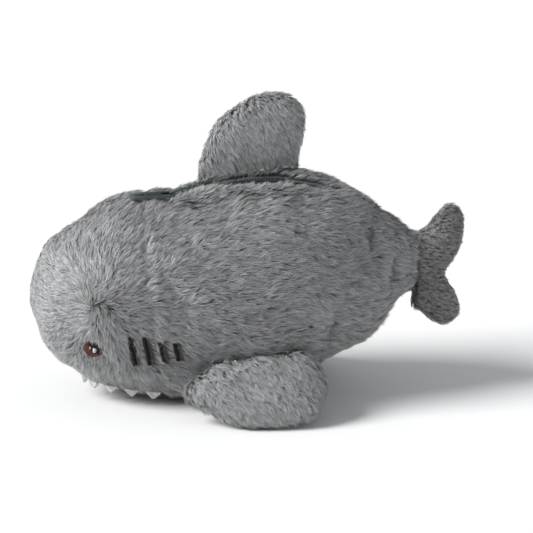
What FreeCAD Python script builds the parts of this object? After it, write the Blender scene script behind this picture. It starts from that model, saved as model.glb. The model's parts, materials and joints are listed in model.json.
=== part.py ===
import FreeCAD, Part

import math
import os

from FreeCAD import Placement, Rotation, Vector

# Plush shark pouch. Millimetres, +Z up, nose towards -X, left side towards -Y.
# The origin is on the floor, below the middle of the whole toy.

# ---- Driving dimensions -------------------------------------------------
HALF_LENGTH = 108.0          # nose tip to origin, and origin to tail tips
PANEL_THICKNESS = 3.0        # plush fabric, backing plus half of its pile
WADDING_THICKNESS = 4.0      # fibre wadding between the plush and the lining
LINING_THICKNESS = 0.8
THREAD_LAYER = 0.4           # each layer of embroidery stands this proud

# The body, as stations from nose to tail: x, belly height, back height, half width.
BODY_STATIONS = [
    (-HALF_LENGTH, 49.0, 56.0, 4.0),
    (-104.0, 37.0, 68.0, 14.0),
    (-95.0, 21.5, 80.5, 27.0),
    (-80.0, 9.0, 93.0, 37.0),
    (-58.0, 0.5, 103.0, 42.5),
    (-30.0, -3.0, 105.5, 44.5),
    (6.0, -2.5, 113.5, 44.0),
    (34.0, 14.0, 112.5, 39.5),
    (54.0, 25.0, 104.0, 31.0),
    (70.0, 40.0, 91.0, 20.0),
    (82.0, 52.0, 82.0, 11.0),
]
INNER_LOWEST = 1.5           # the inner layers keep clear of the flat under the belly
HEAD_SEAM_X = -52.0          # seam between the head panels and the side panels
BELLY_FRONT_X = -84.0        # where the pale belly panel starts, under the snout
BELLY_HALF_WIDTH = 25.0
MID_HEIGHT_FRONT = 50.0      # the belly panel stays below this line
MID_HEIGHT_REAR = 67.0

# The zip lies on an arc beside the top of the back and leans to the left.
ZIP_RADIUS = 110.0
ZIP_APEX = Vector(8.0, -7.7, 110.6)
ZIP_LEAN = 12.0              # degrees
ZIP_FRONT = -27.0            # ends of the tapes, degrees from the apex
ZIP_REAR = 18.5
COIL_FRONT = -25.0
COIL_REAR = 16.5
STOP_SPAN = 1.3              # the end stops, degrees along the zip
STOP_HALF_HEIGHT = 1.2
SLOT_WIDTH = 9.0
TAPE_WIDTH = 8.5             # from the middle of the zip to the tape's outer edge
TAPE_THICKNESS = 0.6
COIL_GAP = 1.2
COIL_WIDTH = 2.2
COIL_HEIGHT = 1.8
SLIDER_REST = -22.4          # the slider's place when the pouch is closed, degrees
SLIDER_LENGTH = 9.0
SLIDER_WIDTH = 8.0
PLATE_THICKNESS = 1.0
PLATE_CLEARANCE = 0.3
TAB_LENGTH = 22.0
TAB_WIDTH = 6.4
TAB_THICKNESS = 1.1
TAB_PITCH = 22.0             # lies level on the fur although the zip slopes there
TAB_YAW = 8.0                # swings a little to the left in its loose arch

# Embroidery
EYE_CENTRE = (-76.2, 33.5)
EYE_RADIUS = 4.9
GILL_X = (-56.8, -49.4, -42.1, -34.8)
GILL_LENGTHS = (16.0, 15.0, 10.5, 9.5)
GILL_Z = 34.0
GILL_WIDTH = 2.0
GILL_LEAN = 11.0             # degrees, the lower end further back

# Teeth
TOOTH_WIDTH = 9.5
TOOTH_HEIGHT = 4.2
TOOTH_THICKNESS = 1.2
TEETH_PER_SIDE = 5
TOOTH_PITCH = 11.0

# Fins: outlines run round the fin; half thickness is at the middle.
FIN_SKIN = 2.2
DORSAL_HALF_THICKNESS = 8.5
DORSAL_Y = 7.5
DORSAL_OUTLINE = [
    (-27, 98), (-25, 112), (-21.5, 127), (-12, 142), (0, 150), (13, 153.5),
    (23.5, 149.5), (27.5, 141), (26, 128), (24.5, 116), (24, 104), (0, 98),
]
TAIL_HALF_THICKNESS = 7.5
TAIL_OUTLINE = [
    (77, 66), (79, 79), (87, 85.5), (94.5, 95), (101, 99), (106.8, 94), (HALF_LENGTH - 0.6, 83),
    (103, 71), (98.5, 61), (103, 53), (106, 46), (102.5, 37.5), (95, 36), (87.5, 41.5),
    (80, 52),
]
# The pectoral outline is x and the distance outwards from the root.
PECTORAL_HALF_THICKNESS = 8.0
PECTORAL_ROOT_Y = 36.5
PECTORAL_ROOT_Z = 31.0
PECTORAL_DROOP = 48.0        # degrees below level
PECTORAL_OUTLINE = [
    (-25, 12.5), (-29.5, 23), (-19, 31), (-4, 37), (14, 37.5), (31, 31.5),
    (38, 19), (36, 8), (27, -1), (14, -6), (-2, -4), (-15, 3.5),
]
DORSAL_GAP = 2.6             # gaps between a fin's root and the body
PECTORAL_GAP = 2.0
TAIL_GAP = 2.0
TAIL_ROOT_X = 84.0           # the tail starts behind this plane

X_AXIS = Vector(1, 0, 0)
Y_AXIS = Vector(0, 1, 0)
Z_AXIS = Vector(0, 0, 1)
ORIGIN = Vector(0, 0, 0)
FAR = 300.0                  # half the side of a cutting block


# ---- Helpers --------------------------------------------------------------
def closed_curve(points):
    """A smooth closed wire through the points."""
    curve = Part.BSplineCurve()
    curve.interpolate(Points=points, PeriodicFlag=True)
    return Part.Wire([curve.toShape()])


def block(x0, x1, y0, y1, z0, z1):
    """A box between two corners."""
    return Part.makeBox(x1 - x0, y1 - y0, z1 - z0, Vector(x0, y0, z0))


def mirrored(shape):
    """The same piece on the other side of the toy."""
    return shape.mirror(ORIGIN, Y_AXIS)


def largest(shape):
    """The shape's biggest solid."""
    return max(shape.Solids, key=lambda solid: solid.Volume)


def body_section(x, low, high, half_width, inset):
    """One closed oval section of the body, pulled in by the inset."""
    if inset > 0.0:
        low = max(low, INNER_LOWEST)
    middle = (low + high) / 2.0
    half_height = (high - low) / 2.0 - inset
    half_width = half_width - inset
    points = []
    for step in range(16):
        angle = 2.0 * math.pi * step / 16
        points.append(Vector(x, half_width * math.cos(angle), middle + half_height * math.sin(angle)))
    return closed_curve(points)


def body_form(inset):
    """The body's closed form, pulled in (or let out) by the inset on every side."""
    sections = []
    for x, low, high, half_width in BODY_STATIONS:
        if min(half_width, (high - low) / 2.0) > inset + 1.5:
            scaled_x = x * (1.0 - inset / HALF_LENGTH)
            sections.append(body_section(scaled_x, low, high, half_width, inset))
    return Part.makeLoft(sections, True, False, False, 3)


def surface_point(form, x, z):
    """The point of the left flank at x and z, and the outward direction there."""
    ray = Part.makeLine(Vector(x, -FAR, z), Vector(x, 0, z))
    inside = form.common(ray)
    point = Vector(x, inside.BoundBox.YMin, z)
    details = form.distToShape(Part.Vertex(point))[2][0]
    face = form.Faces[details[1]]
    return point, face.normalAt(*details[2])


def belly_height(form, x, y):
    """The height of the body's underside at x and y."""
    ray = Part.makeLine(Vector(x, y, -FAR), Vector(x, y, MID_HEIGHT_FRONT))
    return form.common(ray).BoundBox.ZMin


def half_lens(outline, half_thickness, shrink, side):
    """Half a pillow in the XZ plane, from its full outline at y = 0 to a smaller face."""
    centre_x = sum(p[0] for p in outline) / len(outline)
    centre_z = sum(p[1] for p in outline) / len(outline)
    reach = min(max(p[0] for p in outline) - centre_x, max(p[1] for p in outline) - centre_z)
    base = 1.0 - shrink / reach
    wires = []
    for level, scale in ((0.0, 1.0), (0.4, 0.96), (0.75, 0.8), (1.0, 0.45)):
        points = []
        for x, z in outline:
            reach_x = (x - centre_x) * scale * base
            reach_z = (z - centre_z) * scale * base
            y = side * level * (half_thickness - shrink)
            points.append(Vector(centre_x + reach_x, y, centre_z + reach_z))
        wires.append(closed_curve(points))
    return Part.makeLoft(wires, True, False, False, 3)


def to_zip(shape, angle=0.0):
    """Put a piece made round the zip's apex at an angle along the zip."""
    shape = shape.copy()
    shape.rotate(Vector(0, 0, -ZIP_RADIUS), Y_AXIS, angle)
    shape.Placement = Placement(ZIP_APEX, Rotation(X_AXIS, ZIP_LEAN)).multiply(shape.Placement)
    return shape


def zip_band(y0, y1, z0, z1, start, end):
    """A bar of rectangular section that follows the zip from start to end, in degrees."""
    corners = [Vector(0, y0, z0), Vector(0, y1, z0), Vector(0, y1, z1), Vector(0, y0, z1)]
    face = Part.Face(Part.makePolygon(corners + corners[:1]))
    band = face.revolve(Vector(0, 0, -ZIP_RADIUS), Y_AXIS, end - start)
    return to_zip(band, start)


# ---- The body -------------------------------------------------------------
OUTER = body_form(0.0).cut(block(-FAR, FAR, -FAR, FAR, -FAR, 0.0))
PANEL_INSIDE = body_form(PANEL_THICKNESS)
WADDING_INSIDE = body_form(PANEL_THICKNESS + WADDING_THICKNESS)
POCKET_INSIDE = body_form(PANEL_THICKNESS + WADDING_THICKNESS + LINING_THICKNESS)
LEFT = block(-FAR, FAR, -FAR, 0.0, -FAR, FAR)
RIGHT = block(-FAR, FAR, 0.0, FAR, -FAR, FAR)
AHEAD = block(-FAR, HEAD_SEAM_X, -FAR, FAR, -FAR, FAR)
BEHIND = block(HEAD_SEAM_X, FAR, -FAR, FAR, -FAR, FAR)


def zip_cut():
    """What the zip takes out of the layers: the mouth, and a pocket for each tape."""
    half = SLOT_WIDTH / 2.0
    reach = TAPE_WIDTH + 0.2
    mouth = zip_band(-half, half, -16.0, 14.0, ZIP_FRONT, ZIP_REAR)
    pocket = zip_band(-reach, reach, -TAPE_THICKNESS / 2 - 0.05, TAPE_THICKNESS / 2 + 0.05,
                      ZIP_FRONT - 0.1, ZIP_REAR + 0.1)
    return mouth.fuse(pocket)


def belly_outline():
    """Half of the belly panel's plan: the mouth's round front, then straight to the tail."""
    return [
        Vector(BELLY_FRONT_X, 0, 0),
        Vector(BELLY_FRONT_X + 10.0, BELLY_HALF_WIDTH * 0.72, 0),
        Vector(BELLY_FRONT_X + 34.0, BELLY_HALF_WIDTH, 0),
        Vector(10.0, BELLY_HALF_WIDTH, 0),
        Vector(52.0, BELLY_HALF_WIDTH * 0.7, 0),
        Vector(84.0, BELLY_HALF_WIDTH * 0.28, 0),
    ]


def belly_column():
    """The column that the belly panel is cut out with."""
    side = belly_outline()
    other = [Vector(p.x, -p.y, 0) for p in reversed(side)]
    curve = Part.BSplineCurve()
    curve.interpolate(Points=other[:-1] + side)
    back = Part.makeLine(side[-1], other[0])
    plan = Part.Face(Part.Wire([curve.toShape(), back]))
    plan.translate(Vector(0, 0, -FAR))
    column = plan.extrude(Vector(0, 0, 2 * FAR))
    profile = Part.makePolygon([
        Vector(-FAR, -FAR, -FAR), Vector(FAR, -FAR, -FAR), Vector(FAR, -FAR, MID_HEIGHT_REAR),
        Vector(84.0, -FAR, MID_HEIGHT_REAR), Vector(20.0, -FAR, MID_HEIGHT_FRONT),
        Vector(-FAR, -FAR, MID_HEIGHT_FRONT), Vector(-FAR, -FAR, -FAR)])
    return column.common(Part.Face(profile).extrude(Vector(0, 2 * FAR, 0)))


def body_panels():
    """The plush panels: two for the head, two for the sides and one for the belly."""
    skin = OUTER.cut(PANEL_INSIDE)
    column = belly_column()
    upper = skin.cut(column)
    head = largest(upper.common(AHEAD).common(LEFT))
    side = largest(upper.common(BEHIND).common(LEFT))
    return {
        "head_panel_left": head,
        "head_panel_right": mirrored(head),
        "side_panel_left": largest(side.cut(zip_cut())),
        "side_panel_right": largest(mirrored(side).cut(zip_cut())),
        "belly_panel": largest(skin.common(column)),
    }


def body_inside():
    """The wadding in two halves, and the lining pocket that things go into."""
    wadding = PANEL_INSIDE.cut(WADDING_INSIDE).common(LEFT)
    return {
        "wadding_left": largest(wadding.cut(zip_cut())),
        "wadding_right": largest(mirrored(wadding).cut(zip_cut())),
        "lining_pocket": largest(WADDING_INSIDE.cut(POCKET_INSIDE).cut(zip_cut())),
    }


# ---- Face -------------------------------------------------------------------
def embroidered(form_inside, form_outside, column):
    """Thread that lies on the body between two forms, inside a column."""
    return form_outside.cut(form_inside).common(column)


def eye_column(offset_x, offset_z, radius, point, direction):
    """A short column that stands on the flank; offsets are along x and up the flank."""
    turn = Rotation(Z_AXIS, direction)
    base = point + Vector(offset_x, 0, offset_z) - direction * 4.0
    column = Part.makeCylinder(radius, 8.0)
    column.Placement = Placement(base, turn)
    return column


def left_eye():
    """The left eye's threads: brown iris, black pupil and white highlights."""
    first = body_form(-THREAD_LAYER)
    second = body_form(-2 * THREAD_LAYER)
    third = body_form(-3 * THREAD_LAYER)
    point, direction = surface_point(OUTER, *EYE_CENTRE)
    iris = eye_column(0.0, 0.0, EYE_RADIUS, point, direction)
    pupil = eye_column(0.9, 0.9, EYE_RADIUS * 0.7, point, direction)
    big_glint = eye_column(1.5, 0.3, EYE_RADIUS * 0.3, point, direction)
    small_glint = eye_column(-0.8, 1.3, EYE_RADIUS * 0.15, point, direction)
    return {
        "eye_iris_left": embroidered(OUTER, first, iris),
        "eye_pupil_left": embroidered(first, second, pupil),
        "eye_highlight_left": embroidered(second, third, big_glint.fuse(small_glint)),
    }


def left_gills():
    """Four bars of black satin stitch on the left flank."""
    form = body_form(-2 * THREAD_LAYER)
    bars = []
    for x, length in zip(GILL_X, GILL_LENGTHS):
        half = length / 2.0
        bar = block(-GILL_WIDTH / 2, GILL_WIDTH / 2, -FAR, 0.0, -half, half)
        bar.rotate(ORIGIN, Y_AXIS, -GILL_LEAN)
        bar.translate(Vector(x, 0, GILL_Z))
        bars.append(embroidered(OUTER, form, bar))
    return Part.makeCompound([solid for bar in bars for solid in bar.Solids])


def left_teeth():
    """Felt teeth that hang from the mouth seam, evenly spaced from its front."""
    curve = Part.BSplineCurve()
    curve.interpolate(Points=belly_outline())
    edge = curve.toShape()
    teeth = []
    for number in range(TEETH_PER_SIDE):
        along = edge.getParameterByLength((number + 0.5) * TOOTH_PITCH)
        place = edge.valueAt(along)
        heading = edge.tangentAt(along)
        height = belly_height(OUTER, place.x, -place.y)
        half = TOOTH_WIDTH / 2.0
        outline = Part.makePolygon([
            Vector(-half, 0, 4.0), Vector(half, 0, 4.0), Vector(half * 0.75, 0, -1.2),
            Vector(0, 0, -TOOTH_HEIGHT), Vector(-half * 0.75, 0, -1.2), Vector(-half, 0, 4.0)])
        tooth = Part.Face(outline).extrude(Vector(0, TOOTH_THICKNESS, 0))
        turn = math.degrees(math.atan2(-heading.y, heading.x))
        tooth.rotate(ORIGIN, Z_AXIS, turn)
        tooth.translate(Vector(place.x, -place.y, height))
        teeth += tooth.cut(OUTER).Solids
    return Part.makeCompound([tooth for tooth in teeth if tooth.BoundBox.ZMin < MID_HEIGHT_FRONT])


# ---- Zip ----------------------------------------------------------------------
def zip_chain():
    """The two tapes, the two coils and the two end stops."""
    inner = COIL_GAP / 2.0
    outer = inner + COIL_WIDTH
    half_tape = TAPE_THICKNESS / 2.0
    half_coil = COIL_HEIGHT / 2.0
    pieces = {}
    for side, sign in (("left", -1), ("right", 1)):
        edges = sorted((sign * outer, sign * TAPE_WIDTH))
        pieces["zip_tape_" + side] = zip_band(*edges, -half_tape, half_tape, ZIP_FRONT, ZIP_REAR)
        edges = sorted((sign * inner, sign * outer))
        pieces["zip_coil_" + side] = zip_band(*edges, -half_coil, half_coil, COIL_FRONT, COIL_REAR)
    for end, start in (("front", COIL_FRONT - STOP_SPAN), ("rear", COIL_REAR)):
        pieces["zip_stop_" + end] = zip_band(-outer, outer, -STOP_HALF_HEIGHT, STOP_HALF_HEIGHT,
                                             start, start + STOP_SPAN)
    return pieces


def slider_body():
    """Two plates with turned-in edges, joined by the post that parts the coils."""
    half_length = SLIDER_LENGTH / 2.0
    half_width = SLIDER_WIDTH / 2.0
    low = COIL_HEIGHT / 2.0 + PLATE_CLEARANCE
    high = low + PLATE_THICKNESS
    lip = TAPE_THICKNESS / 2.0 + 0.4
    solid = block(-0.3, 0.3, -0.3, 0.3, -high, high)
    solid.translate(Vector(-half_length + 1.0, 0, 0))
    for sign in (-1, 1):
        plate = block(-half_length, half_length, -half_width, half_width, *sorted((sign * low, sign * high)))
        upright = [edge for edge in plate.Edges if abs(edge.tangentAt(edge.FirstParameter).z) > 0.9]
        solid = solid.fuse(plate.makeFillet(2.0, upright))
        for side in (-1, 1):
            flange = block(-half_length + 2.0, half_length - 2.0,
                           *sorted((side * half_width, side * (half_width - 0.7))),
                           *sorted((sign * lip, sign * high)))
            solid = solid.fuse(flange)
    return to_zip(solid.removeSplitter(), SLIDER_REST)


BRIDGE_BASE = COIL_HEIGHT / 2.0 + PLATE_CLEARANCE + PLATE_THICKNESS
BRIDGE_HEIGHT = 3.0
TAB_PIVOT = Vector(-1.5, 0, BRIDGE_BASE + 1.0)


def slider_bridge():
    """The arch on the slider that holds the pull tab."""
    arch = block(-3.5, 3.5, -1.0, 1.0, BRIDGE_BASE, BRIDGE_BASE + BRIDGE_HEIGHT)
    crosswise = [edge for edge in arch.Edges
                 if edge.BoundBox.YLength > 1.5 and edge.BoundBox.ZMin > BRIDGE_BASE + 1.0]
    arch = arch.makeFillet(1.2, crosswise)
    hole = block(-2.6, 2.6, -2.0, 2.0, BRIDGE_BASE - 1.0, BRIDGE_BASE + BRIDGE_HEIGHT - 1.0)
    return to_zip(arch.cut(hole), SLIDER_REST)


def pull_tab():
    """The flat tab: a round bar under the bridge, two rails and a plate with a slit."""
    half = TAB_WIDTH / 2.0
    thick = TAB_THICKNESS / 2.0
    plate = block(-TAB_LENGTH, 0.0, -half, half, -thick, thick)
    corners = [edge for edge in plate.Edges
               if abs(edge.tangentAt(edge.FirstParameter).z) > 0.9 and edge.BoundBox.XMax < -1.0]
    plate = plate.makeFillet(2.4, corners)
    window = block(-6.2, 1.0, -1.5, 1.5, -2.0, 2.0)
    slit = block(-TAB_LENGTH + 2.2, -TAB_LENGTH + 7.2, -0.7, 0.7, -2.0, 2.0)
    bar = Part.makeCylinder(thick, TAB_WIDTH, Vector(0, -half, 0), Y_AXIS)
    tab = plate.cut(window).cut(slit).fuse(bar).removeSplitter()
    tab.rotate(ORIGIN, Y_AXIS, TAB_PITCH)
    tab.rotate(ORIGIN, Z_AXIS, TAB_YAW)
    tab.translate(TAB_PIVOT)
    return to_zip(tab, SLIDER_REST)


# ---- Fins ----------------------------------------------------------------------
def fin_pieces(name, outline, half_thickness, first, second):
    """A fin as its two plush faces, one each side of the plane y = 0, and its stuffing."""
    fillings = [half_lens(outline, half_thickness, FIN_SKIN, side) for side in (-1, 1)]
    pieces = {name + "_stuffing": fillings[0].fuse(fillings[1]).removeSplitter()}
    for face, side, filling in ((first, -1, fillings[0]), (second, 1, fillings[1])):
        pieces[name + "_" + face] = half_lens(outline, half_thickness, 0.0, side).cut(filling)
    return pieces


def upright_fin(name, outline, half_thickness, clear, offset_y):
    """A fin that stands on the body's middle plane, cut clear of the body."""
    pieces = fin_pieces(name, outline, half_thickness, "left", "right")
    for key, piece in pieces.items():
        piece.translate(Vector(0, offset_y, 0))
        pieces[key] = largest(piece.cut(clear))
    return pieces


def left_pectoral():
    """The left pectoral fin, laid out flat and then turned down to the floor."""
    clear = body_form(-PECTORAL_GAP)
    outline = [(x, -outwards) for x, outwards in PECTORAL_OUTLINE]
    pieces = fin_pieces("pectoral_left", outline, PECTORAL_HALF_THICKNESS, "upper", "lower")
    turned = {}
    for key, piece in pieces.items():
        piece.rotate(ORIGIN, X_AXIS, PECTORAL_DROOP - 90.0)
        piece.translate(Vector(0, -PECTORAL_ROOT_Y, PECTORAL_ROOT_Z))
        turned[key] = largest(piece.cut(clear))
    return turned


# ---- Everything -------------------------------------------------------------------
def all_pieces():
    """Every sub-part, by node name."""
    pieces = {}
    pieces.update(body_panels())
    pieces.update(body_inside())
    pieces.update(zip_chain())
    pieces["slider_body"] = slider_body()
    pieces["slider_bridge"] = slider_bridge()
    pieces["pull_tab"] = pull_tab()
    clear_of_back = body_form(-DORSAL_GAP)
    clear_of_rear = body_form(-TAIL_GAP).fuse(block(0, TAIL_ROOT_X, -50.0, 50.0, 0, 120.0))
    pieces.update(upright_fin("dorsal_fin", DORSAL_OUTLINE, DORSAL_HALF_THICKNESS,
                              clear_of_back, DORSAL_Y))
    pieces.update(upright_fin("tail_fin", TAIL_OUTLINE, TAIL_HALF_THICKNESS, clear_of_rear, 0.0))
    both_sides = left_eye()
    both_sides["gill_stitches_left"] = left_gills()
    both_sides["teeth_left"] = left_teeth()
    both_sides.update(left_pectoral())
    for name, piece in both_sides.items():
        pieces[name] = piece
        pieces[name.replace("left", "right")] = mirrored(piece)
    return pieces


def main():
    os.makedirs("parts", exist_ok=True)
    for name, piece in all_pieces().items():
        piece.exportStep("parts/%s.step" % name)
        box = piece.BoundBox
        print("%-24s solids %d valid %s volume %8.1f  x %6.1f..%6.1f y %6.1f..%6.1f z %6.1f..%6.1f" % (
            name, len(piece.Solids), piece.isValid(), piece.Volume,
            box.XMin, box.XMax, box.YMin, box.YMax, box.ZMin, box.ZMax))


main()
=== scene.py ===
import json
import math

import bpy
import numpy as np
from mathutils import Matrix, Vector, kdtree, noise
from mathutils.bvhtree import BVHTree


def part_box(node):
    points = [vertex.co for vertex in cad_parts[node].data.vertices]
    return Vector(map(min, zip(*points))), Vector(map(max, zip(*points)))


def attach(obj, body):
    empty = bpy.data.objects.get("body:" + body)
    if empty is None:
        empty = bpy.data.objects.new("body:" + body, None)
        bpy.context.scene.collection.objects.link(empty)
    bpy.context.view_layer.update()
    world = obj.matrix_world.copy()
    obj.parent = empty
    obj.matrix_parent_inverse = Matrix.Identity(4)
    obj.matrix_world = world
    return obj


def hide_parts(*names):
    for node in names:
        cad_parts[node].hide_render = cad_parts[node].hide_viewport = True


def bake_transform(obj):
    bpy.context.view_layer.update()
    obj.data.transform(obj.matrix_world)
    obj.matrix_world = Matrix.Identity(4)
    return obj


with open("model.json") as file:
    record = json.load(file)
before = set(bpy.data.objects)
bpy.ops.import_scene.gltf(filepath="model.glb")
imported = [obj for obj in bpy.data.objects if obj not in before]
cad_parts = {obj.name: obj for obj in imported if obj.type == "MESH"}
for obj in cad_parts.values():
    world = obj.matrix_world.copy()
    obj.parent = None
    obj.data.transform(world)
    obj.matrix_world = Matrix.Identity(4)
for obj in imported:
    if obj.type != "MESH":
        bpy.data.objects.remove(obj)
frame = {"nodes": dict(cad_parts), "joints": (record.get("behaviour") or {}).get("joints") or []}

# A plush shark pouch: fur on padded skins, a coil zip, embroidery and felt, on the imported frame.
MM = 0.001
BODY = "shark_body"
X_AXIS = np.array([1.0, 0.0, 0.0])
PANELS = ("head_panel_left", "head_panel_right", "side_panel_left", "side_panel_right",
          "belly_panel")
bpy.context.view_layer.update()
random = np.random.default_rng(22)


# ---- Small helpers ------------------------------------------------------------------
def unit(v):
    """Rows of v scaled to length one."""
    return v / np.maximum(np.linalg.norm(v, axis=-1, keepdims=True), 1e-12)


def smooth(t):
    """A smooth step from 0 to 1 as t goes from 0 to 1."""
    t = np.clip(t, 0.0, 1.0)
    return t * t * (3.0 - 2.0 * t)


def mesh_object(name, points, faces, material, shade_smooth=True):
    """A mesh object from points and faces, in the scene."""
    mesh = bpy.data.meshes.new(name)
    mesh.from_pydata([tuple(p) for p in points], [], faces)
    mesh.polygons.foreach_set("use_smooth", [shade_smooth] * len(mesh.polygons))
    mesh.update()
    obj = bpy.data.objects.new(name, mesh)
    bpy.context.scene.collection.objects.link(obj)
    if material:
        obj.data.materials.append(material)
    return obj


def node_mesh(*nodes):
    """The points and faces of CAD nodes, taken together."""
    points, faces = [], []
    for node in nodes:
        mesh = frame["nodes"][node].data
        base = len(points)
        points += [v.co.copy() for v in mesh.vertices]
        faces += [[base + i for i in p.vertices] for p in mesh.polygons]
    return points, faces


def tree_of(*nodes):
    """A search tree over the faces of CAD nodes."""
    return BVHTree.FromPolygons(*node_mesh(*nodes))


def mesh_arrays(obj):
    """A mesh's points, its normals and its triangles, as arrays."""
    mesh = obj.data
    mesh.calc_loop_triangles()
    points = np.empty(len(mesh.vertices) * 3)
    mesh.vertices.foreach_get("co", points)
    normals = np.empty(len(mesh.vertices) * 3)
    mesh.vertices.foreach_get("normal", normals)
    triangles = np.empty(len(mesh.loop_triangles) * 3, int)
    mesh.loop_triangles.foreach_get("vertices", triangles)
    return points.reshape(-1, 3), normals.reshape(-1, 3), triangles.reshape(-1, 3)


def joint(name):
    """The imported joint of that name."""
    return next(j for j in frame["joints"] if j["name"] == name)


# ---- Materials --------------------------------------------------------------
def new_material(name):
    """An empty node material, its node tree and its Principled shader."""
    material = bpy.data.materials.new(name)
    material.use_nodes = True
    shader = material.node_tree.nodes["Principled BSDF"]
    return material, material.node_tree, shader


def ramp_node(tree, source, stops):
    """A colour ramp fed by source, with (position, colour) stops."""
    ramp = tree.nodes.new("ShaderNodeValToRGB")
    while len(ramp.color_ramp.elements) < len(stops):
        ramp.color_ramp.elements.new(0.5)
    for element, (position, colour) in zip(ramp.color_ramp.elements, stops):
        element.position = position
        element.color = (*colour, 1.0)
    tree.links.new(source, ramp.inputs["Fac"])
    return ramp.outputs["Color"]


def noise_node(tree, scale, detail=3.0, stretch=(1, 1, 1)):
    """Noise in object space; scale is in cells per metre."""
    place = tree.nodes.new("ShaderNodeTexCoord")
    mapping = tree.nodes.new("ShaderNodeMapping")
    mapping.inputs["Scale"].default_value = stretch
    texture = tree.nodes.new("ShaderNodeTexNoise")
    texture.inputs["Scale"].default_value = scale
    texture.inputs["Detail"].default_value = detail
    tree.links.new(place.outputs["Object"], mapping.inputs["Vector"])
    tree.links.new(mapping.outputs["Vector"], texture.inputs["Vector"])
    return texture.outputs["Fac"]


def multiply(tree, first, second):
    """The product of two colours."""
    mix = tree.nodes.new("ShaderNodeMix")
    mix.data_type = "RGBA"
    mix.blend_type = "MULTIPLY"
    mix.inputs["Factor"].default_value = 1.0
    tree.links.new(first, mix.inputs["A"])
    tree.links.new(second, mix.inputs["B"])
    return mix.outputs["Result"]


def bump(tree, shader, height, strength, distance):
    """Fine relief on a shader from a height."""
    node = tree.nodes.new("ShaderNodeBump")
    node.inputs["Strength"].default_value = strength
    node.inputs["Distance"].default_value = distance
    tree.links.new(height, node.inputs["Height"])
    tree.links.new(node.outputs["Normal"], shader.inputs["Normal"])


def grey(value, warmth=0.0):
    """A near-grey colour, warmer for a positive warmth and bluer for a negative one."""
    return (value * (1.0 + warmth), value, value * (1.0 - warmth))


def fur_material(name, root, tip, warmth=0.0, blotches=45.0):
    """Pile: dark at the root and light at the tip, with clumps and slow changes of tone."""
    material, tree, shader = new_material(name)
    attribute = tree.nodes.new("ShaderNodeAttribute")
    attribute.attribute_name = "strand"
    split = tree.nodes.new("ShaderNodeSeparateColor")
    tree.links.new(attribute.outputs["Color"], split.inputs["Color"])
    # Root to tip: the darker roots are partly the pile's own tone and partly painted shade deep in
    # the pile, between the strands.
    along = ramp_node(tree, split.outputs["Red"], [
        (0.0, grey(root, warmth)), (0.45, grey(root * 0.6 + tip * 0.4, warmth)),
        (1.0, grey(tip, warmth))])
    each = ramp_node(tree, split.outputs["Green"], [(0.0, grey(0.48)), (1.0, grey(1.0))])
    clump = ramp_node(tree, split.outputs["Blue"], [(0.0, grey(0.70)), (1.0, grey(1.0))])
    blotch = ramp_node(tree, noise_node(tree, blotches), [(0.3, grey(0.86)), (0.7, grey(1.0))])
    colour = multiply(tree, multiply(tree, along, each), multiply(tree, clump, blotch))
    tree.links.new(colour, shader.inputs["Base Color"])
    shader.inputs["Roughness"].default_value = 0.62
    shader.inputs["Specular IOR Level"].default_value = 0.35
    shader.inputs["Sheen Weight"].default_value = 0.25
    shader.inputs["Sheen Roughness"].default_value = 0.45
    return material


def backing_material(name, colour):
    """The knitted backing under the pile."""
    material, tree, shader = new_material(name)
    knit = noise_node(tree, 900.0, 2.0, (1.0, 1.0, 2.5))
    tone = ramp_node(tree, knit, [(0.3, grey(colour * 0.6)), (0.7, grey(colour))])
    tree.links.new(tone, shader.inputs["Base Color"])
    shader.inputs["Roughness"].default_value = 0.95
    bump(tree, shader, knit, 0.6, 0.0006)
    return material


def thread_material(name, colour, shine=0.45):
    """Satin embroidery thread: soft gloss, with a tone for each stitch."""
    material, tree, shader = new_material(name)
    attribute = tree.nodes.new("ShaderNodeAttribute")
    attribute.attribute_name = "strand"
    split = tree.nodes.new("ShaderNodeSeparateColor")
    tree.links.new(attribute.outputs["Color"], split.inputs["Color"])
    dark = tuple(c * 0.55 for c in colour)
    each = ramp_node(tree, split.outputs["Green"], [(0.0, dark), (1.0, colour)])
    ply = noise_node(tree, 2600.0, 2.0)
    tone = ramp_node(tree, ply, [(0.3, grey(0.7)), (0.7, grey(1.0))])
    tree.links.new(multiply(tree, each, tone), shader.inputs["Base Color"])
    shader.inputs["Roughness"].default_value = shine
    shader.inputs["Specular IOR Level"].default_value = 0.25
    bump(tree, shader, ply, 0.4, 0.0002)
    return material


def woven_material(name, light, dark, threads):
    """A plain weave: two sets of crossing threads, with specks of wear."""
    material, tree, shader = new_material(name)
    place = tree.nodes.new("ShaderNodeTexCoord")
    heights = []
    for axis in ("X", "Y"):
        wave = tree.nodes.new("ShaderNodeTexWave")
        wave.bands_direction = axis
        wave.inputs["Scale"].default_value = threads
        wave.inputs["Distortion"].default_value = 0.6
        tree.links.new(place.outputs["Object"], wave.inputs["Vector"])
        heights.append(wave.outputs["Color"])
    weave = multiply(tree, *heights)
    specks = ramp_node(tree, noise_node(tree, 400.0), [(0.35, grey(0.75)), (0.65, grey(1.0))])
    tone = multiply(tree, ramp_node(tree, weave, [(0.0, dark), (0.7, light)]), specks)
    tree.links.new(tone, shader.inputs["Base Color"])
    shader.inputs["Roughness"].default_value = 0.8
    bump(tree, shader, weave, 0.5, 0.0002)
    return material


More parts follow.
